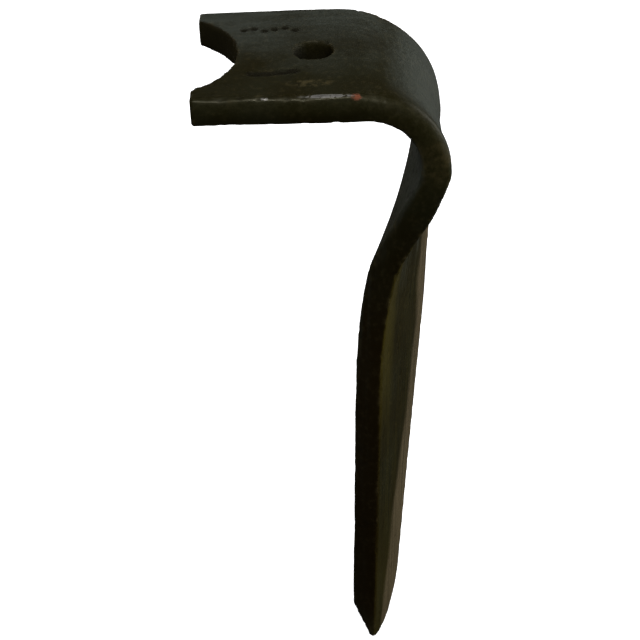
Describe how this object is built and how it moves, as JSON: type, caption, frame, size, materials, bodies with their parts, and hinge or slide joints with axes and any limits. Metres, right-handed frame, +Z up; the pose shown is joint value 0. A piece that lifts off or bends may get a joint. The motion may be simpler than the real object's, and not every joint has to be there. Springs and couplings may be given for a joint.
{
  "type": "power harrow tine",
  "caption": "Forged flat-bar tine with a forked bolting flange, a bent neck and a long tapered blade turned about the vertical.",
  "frame": {"origin": "centre of the bolt hole in the flange's top face", "axes": "+Z up along the bolt, away from the blade; -X from the bolt towards the rotor axis and the forked end; +Y from the blunt front edge towards the tapered rear edge"},
  "size_m": [0.1076, 0.0822, 0.3345],
  "materials": {
    "paint": "black paint over forging scale, semi-gloss, with rust at edges"
  },
  "bodies": {
    "root": {"tine": "paint"}
  },
  "joints": []
}
